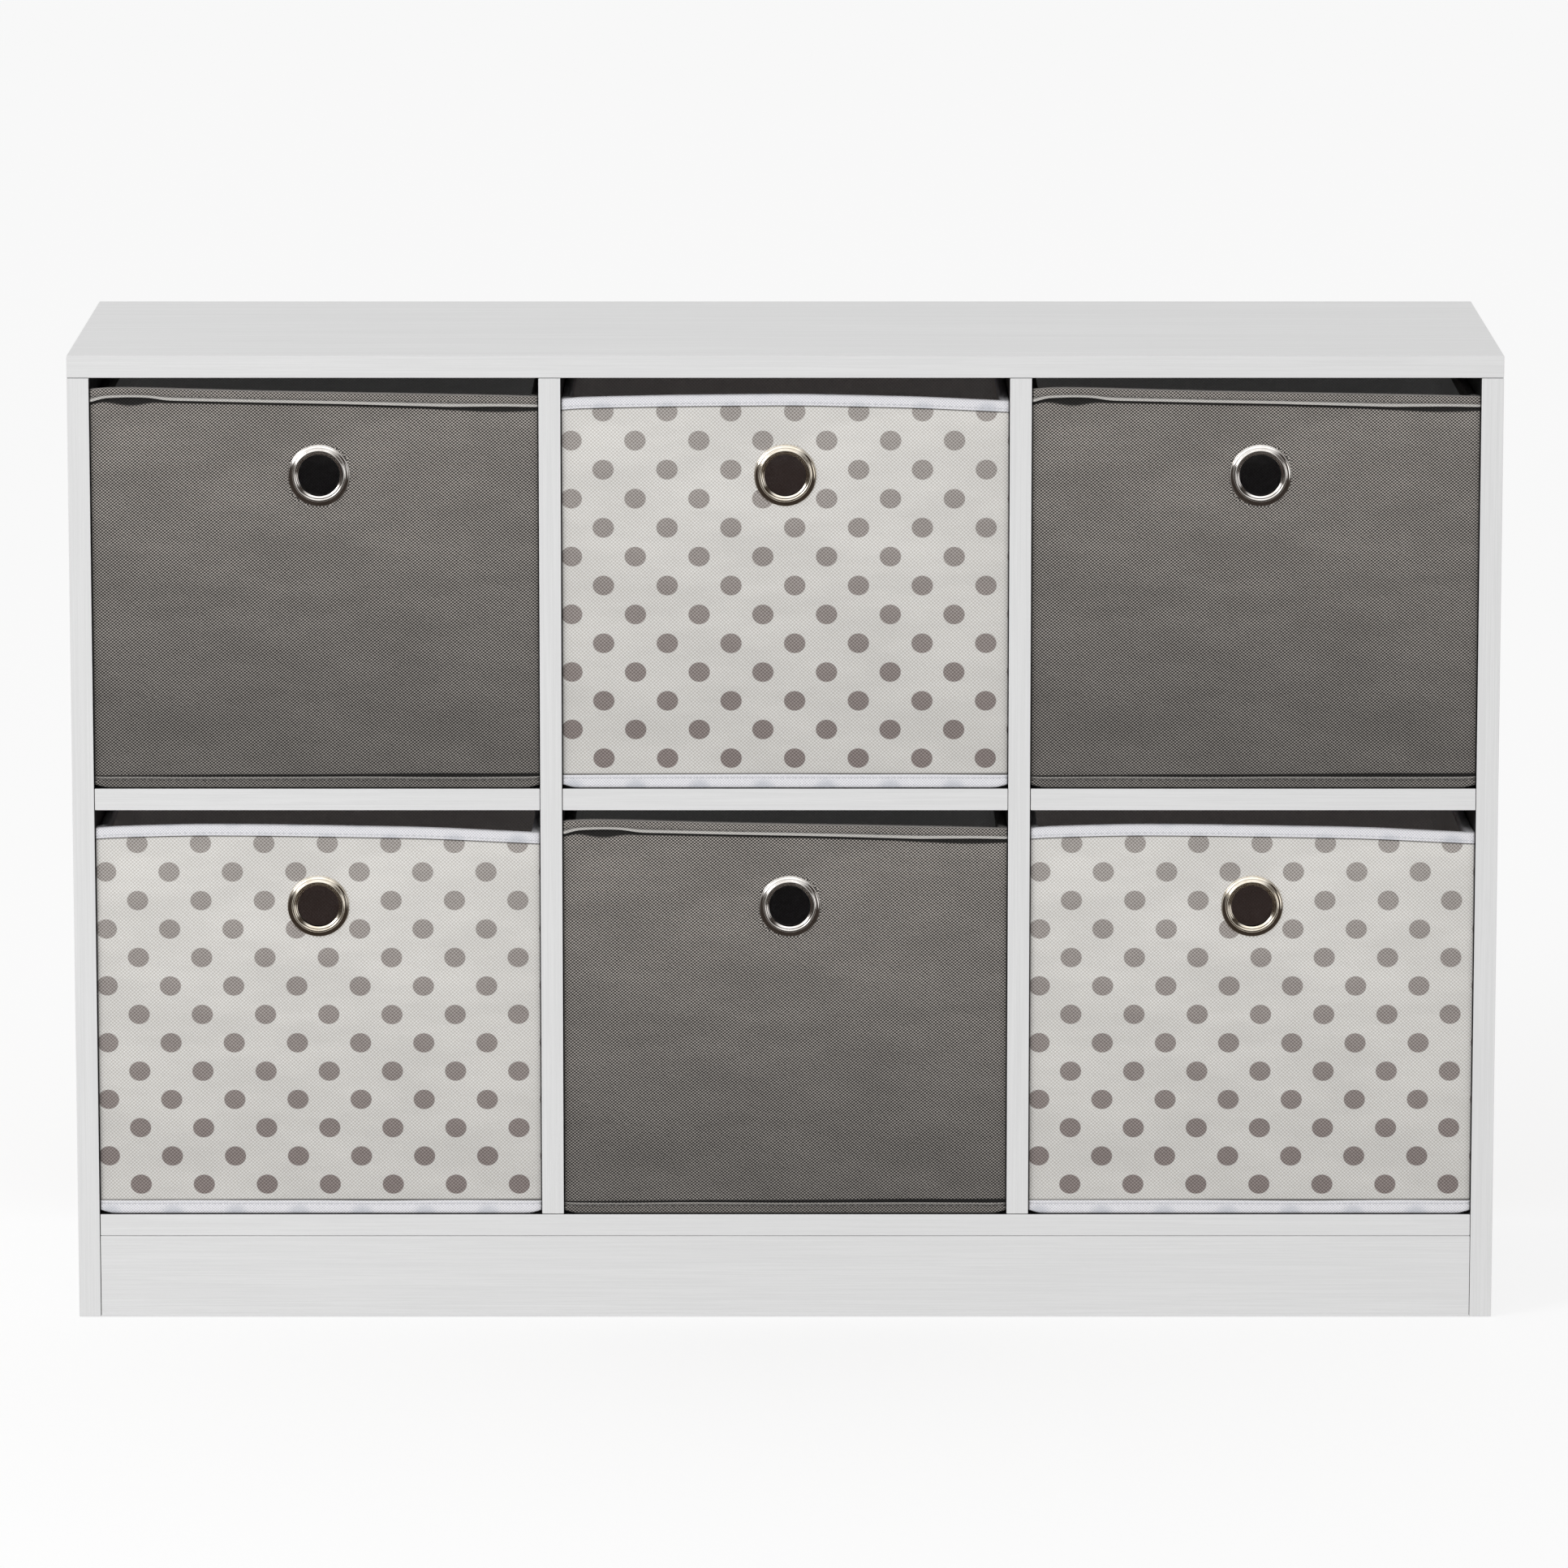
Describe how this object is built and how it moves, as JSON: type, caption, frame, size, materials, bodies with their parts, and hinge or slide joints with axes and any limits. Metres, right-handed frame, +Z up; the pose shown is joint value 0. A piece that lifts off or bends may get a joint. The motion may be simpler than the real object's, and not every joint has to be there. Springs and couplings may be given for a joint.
{
  "type": "cube storage unit",
  "caption": "Low open-fronted storage unit of white woodgrain boards with square cells, each holding a stiffened fabric bin with a round metal finger eyelet.",
  "frame": {"origin": "middle of the footprint, on the floor under the plinth", "axes": "+X to the right seen from the front, +Y to the back, +Z up; the bins face -Y"},
  "size_m": [0.97, 0.3, 0.665],
  "materials": {
    "white_woodgrain_board": "satin embossed woodgrain foil, dark inside the cells",
    "hardboard_back": "matt dark foil in front, raw brown hardboard behind",
    "grey_fabric": "matt embossed non-woven",
    "dotted_fabric": "matt embossed non-woven with printed round dots",
    "white_binding": "matt non-woven tape",
    "bin_lining": "matt non-woven",
    "stiffener_card": "uncoated greyboard",
    "nickel": "polished nickel plate"
  },
  "bodies": {
    "carcase": {"top_panel": "white_woodgrain_board", "left_side_panel": "white_woodgrain_board", "right_side_panel": "white_woodgrain_board", "left_divider": "white_woodgrain_board", "right_divider": "white_woodgrain_board", "left_shelf": "white_woodgrain_board", "centre_shelf": "white_woodgrain_board", "right_shelf": "white_woodgrain_board", "bottom_panel": "white_woodgrain_board", "front_plinth": "white_woodgrain_board", "rear_plinth": "white_woodgrain_board", "back_panel": "hardboard_back"},
    "bottom_left_bin": {"bottom_left_bin_cover": "dotted_fabric", "bottom_left_bin_front_card": "stiffener_card", "bottom_left_bin_back_card": "stiffener_card", "bottom_left_bin_left_card": "stiffener_card", "bottom_left_bin_right_card": "stiffener_card", "bottom_left_bin_rim_binding": "white_binding", "bottom_left_bin_eyelet": "nickel"},
    "bottom_left_base_board": {"bottom_left_bin_base_board": "bin_lining"},
    "bottom_centre_bin": {"bottom_centre_bin_cover": "grey_fabric", "bottom_centre_bin_front_card": "stiffener_card", "bottom_centre_bin_back_card": "stiffener_card", "bottom_centre_bin_left_card": "stiffener_card", "bottom_centre_bin_right_card": "stiffener_card", "bottom_centre_bin_rim_binding": "grey_fabric", "bottom_centre_bin_eyelet": "nickel"},
    "bottom_centre_base_board": {"bottom_centre_bin_base_board": "bin_lining"},
    "bottom_right_bin": {"bottom_right_bin_cover": "dotted_fabric", "bottom_right_bin_front_card": "stiffener_card", "bottom_right_bin_back_card": "stiffener_card", "bottom_right_bin_left_card": "stiffener_card", "bottom_right_bin_right_card": "stiffener_card", "bottom_right_bin_rim_binding": "white_binding", "bottom_right_bin_eyelet": "nickel"},
    "bottom_right_base_board": {"bottom_right_bin_base_board": "bin_lining"},
    "top_left_bin": {"top_left_bin_cover": "grey_fabric", "top_left_bin_front_card": "stiffener_card", "top_left_bin_back_card": "stiffener_card", "top_left_bin_left_card": "stiffener_card", "top_left_bin_right_card": "stiffener_card", "top_left_bin_rim_binding": "grey_fabric", "top_left_bin_eyelet": "nickel"},
    "top_left_base_board": {"top_left_bin_base_board": "bin_lining"},
    "top_centre_bin": {"top_centre_bin_cover": "dotted_fabric", "top_centre_bin_front_card": "stiffener_card", "top_centre_bin_back_card": "stiffener_card", "top_centre_bin_left_card": "stiffener_card", "top_centre_bin_right_card": "stiffener_card", "top_centre_bin_rim_binding": "white_binding", "top_centre_bin_eyelet": "nickel"},
    "top_centre_base_board": {"top_centre_bin_base_board": "bin_lining"},
    "top_right_bin": {"top_right_bin_cover": "grey_fabric", "top_right_bin_front_card": "stiffener_card", "top_right_bin_back_card": "stiffener_card", "top_right_bin_left_card": "stiffener_card", "top_right_bin_right_card": "stiffener_card", "top_right_bin_rim_binding": "grey_fabric", "top_right_bin_eyelet": "nickel"},
    "top_right_base_board": {"top_right_bin_base_board": "bin_lining"}
  },
  "joints": [
    {"name": "bottom_left_bin_slide", "type": "slide", "parent": "carcase", "child": "bottom_left_bin", "axis": [0, -1, 0], "range_m": [0, 0.3]},
    {"name": "bottom_left_base_lift", "type": "slide", "parent": "bottom_left_bin", "child": "bottom_left_base_board", "axis": [0, 0, 1], "range_m": [0, 0.18]},
    {"name": "bottom_centre_bin_slide", "type": "slide", "parent": "carcase", "child": "bottom_centre_bin", "axis": [0, -1, 0], "range_m": [0, 0.3]},
    {"name": "bottom_centre_base_lift", "type": "slide", "parent": "bottom_centre_bin", "child": "bottom_centre_base_board", "axis": [0, 0, 1], "range_m": [0, 0.18]},
    {"name": "bottom_right_bin_slide", "type": "slide", "parent": "carcase", "child": "bottom_right_bin", "axis": [0, -1, 0], "range_m": [0, 0.3]},
    {"name": "bottom_right_base_lift", "type": "slide", "parent": "bottom_right_bin", "child": "bottom_right_base_board", "axis": [0, 0, 1], "range_m": [0, 0.18]},
    {"name": "top_left_bin_slide", "type": "slide", "parent": "carcase", "child": "top_left_bin", "axis": [0, -1, 0], "range_m": [0, 0.3]},
    {"name": "top_left_base_lift", "type": "slide", "parent": "top_left_bin", "child": "top_left_base_board", "axis": [0, 0, 1], "range_m": [0, 0.18]},
    {"name": "top_centre_bin_slide", "type": "slide", "parent": "carcase", "child": "top_centre_bin", "axis": [0, -1, 0], "range_m": [0, 0.3]},
    {"name": "top_centre_base_lift", "type": "slide", "parent": "top_centre_bin", "child": "top_centre_base_board", "axis": [0, 0, 1], "range_m": [0, 0.18]},
    {"name": "top_right_bin_slide", "type": "slide", "parent": "carcase", "child": "top_right_bin", "axis": [0, -1, 0], "range_m": [0, 0.3]},
    {"name": "top_right_base_lift", "type": "slide", "parent": "top_right_bin", "child": "top_right_base_board", "axis": [0, 0, 1], "range_m": [0, 0.18]}
  ]
}
